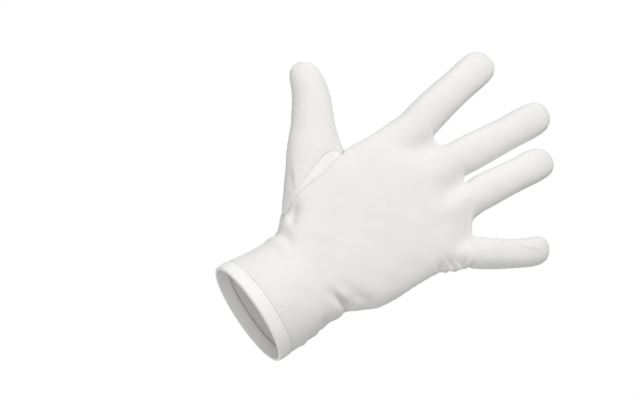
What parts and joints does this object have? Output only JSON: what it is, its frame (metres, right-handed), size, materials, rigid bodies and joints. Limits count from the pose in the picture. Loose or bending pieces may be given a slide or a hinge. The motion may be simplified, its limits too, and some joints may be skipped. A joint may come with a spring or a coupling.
{
  "type": "cloth glove",
  "caption": "White knitted dress glove for the right hand, kept in the open form of a worn one, with a hemmed cuff and a set-in thumb.",
  "frame": {"origin": "middle of the wrist opening, at the hem's edge", "axes": "+Z from the wrist up to the middle finger, +X to the little finger's side, -Y out of the back of the hand, +Y out of the palm"},
  "size_m": [0.1776, 0.0504, 0.2284],
  "materials": {
    "cuff_hem": "matte fine knit",
    "back_panel": "matte fine knit",
    "palm_panel": "matte fine knit",
    "thumb_back": "matte fine knit",
    "thumb_front": "matte fine knit",
    "thumb_gusset": "matte fine knit"
  },
  "bodies": {
    "root": {"cuff_hem": "cuff_hem", "back_panel": "back_panel", "palm_panel": "palm_panel", "thumb_back": "thumb_back", "thumb_front": "thumb_front", "thumb_gusset": "thumb_gusset"}
  },
  "joints": []
}
